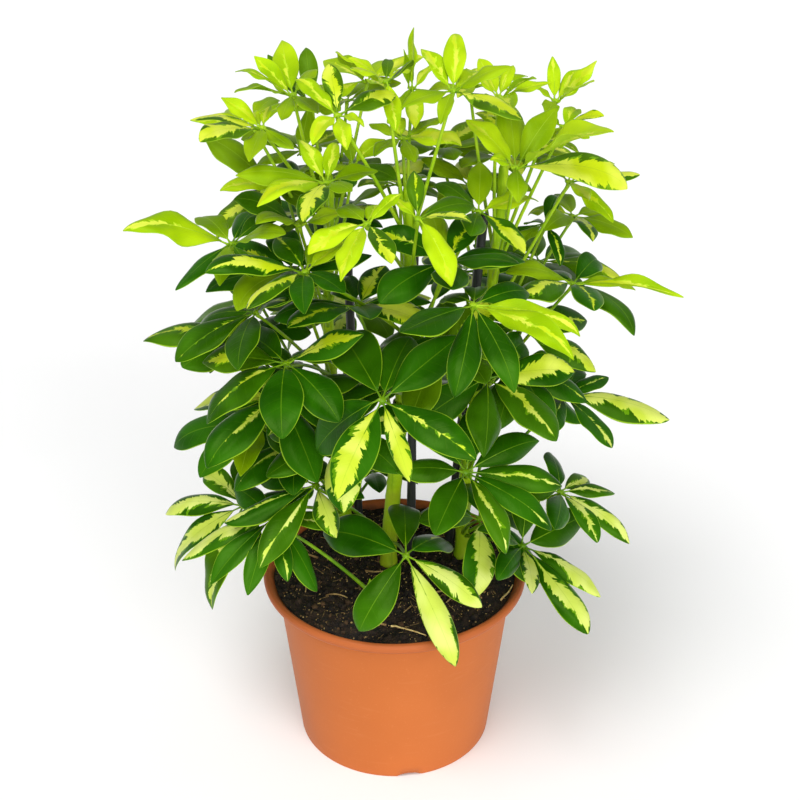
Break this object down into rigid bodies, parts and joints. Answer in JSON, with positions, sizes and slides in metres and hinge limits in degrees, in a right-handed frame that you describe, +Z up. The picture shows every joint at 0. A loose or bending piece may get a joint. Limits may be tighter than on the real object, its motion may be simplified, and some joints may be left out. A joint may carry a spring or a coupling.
{
  "type": "potted umbrella plant",
  "caption": "Variegated dwarf umbrella plant with whorled leaves on cane-supported stems, growing in soil in a round plastic nursery pot.",
  "frame": {"origin": "centre of the pot's underside, on the surface that it stands on", "axes": "+Z up along the pot's axis; -Y is the plant's front, +X its right side as seen from the front"},
  "size_m": [0.4593, 0.4607, 0.6615],
  "materials": {
    "pot_plastic": "satin terracotta-coloured plastic",
    "soil": "moist dark peat with light fibres",
    "foliage": "glossy variegated leaves on green stalks and stems",
    "cane": "black coated plant stake",
    "clip": "dark green plastic plant clip"
  },
  "bodies": {
    "root": {"pot": "pot_plastic", "soil": "soil", "leafy_stem_front": "foliage", "leafy_stem_right": "foliage", "leafy_stem_left": "foliage", "leafy_stem_low": "foliage", "cane_front": "cane", "cane_right": "cane", "cane_left": "cane", "clip_front": "clip", "clip_right": "clip", "clip_left": "clip"}
  },
  "joints": []
}
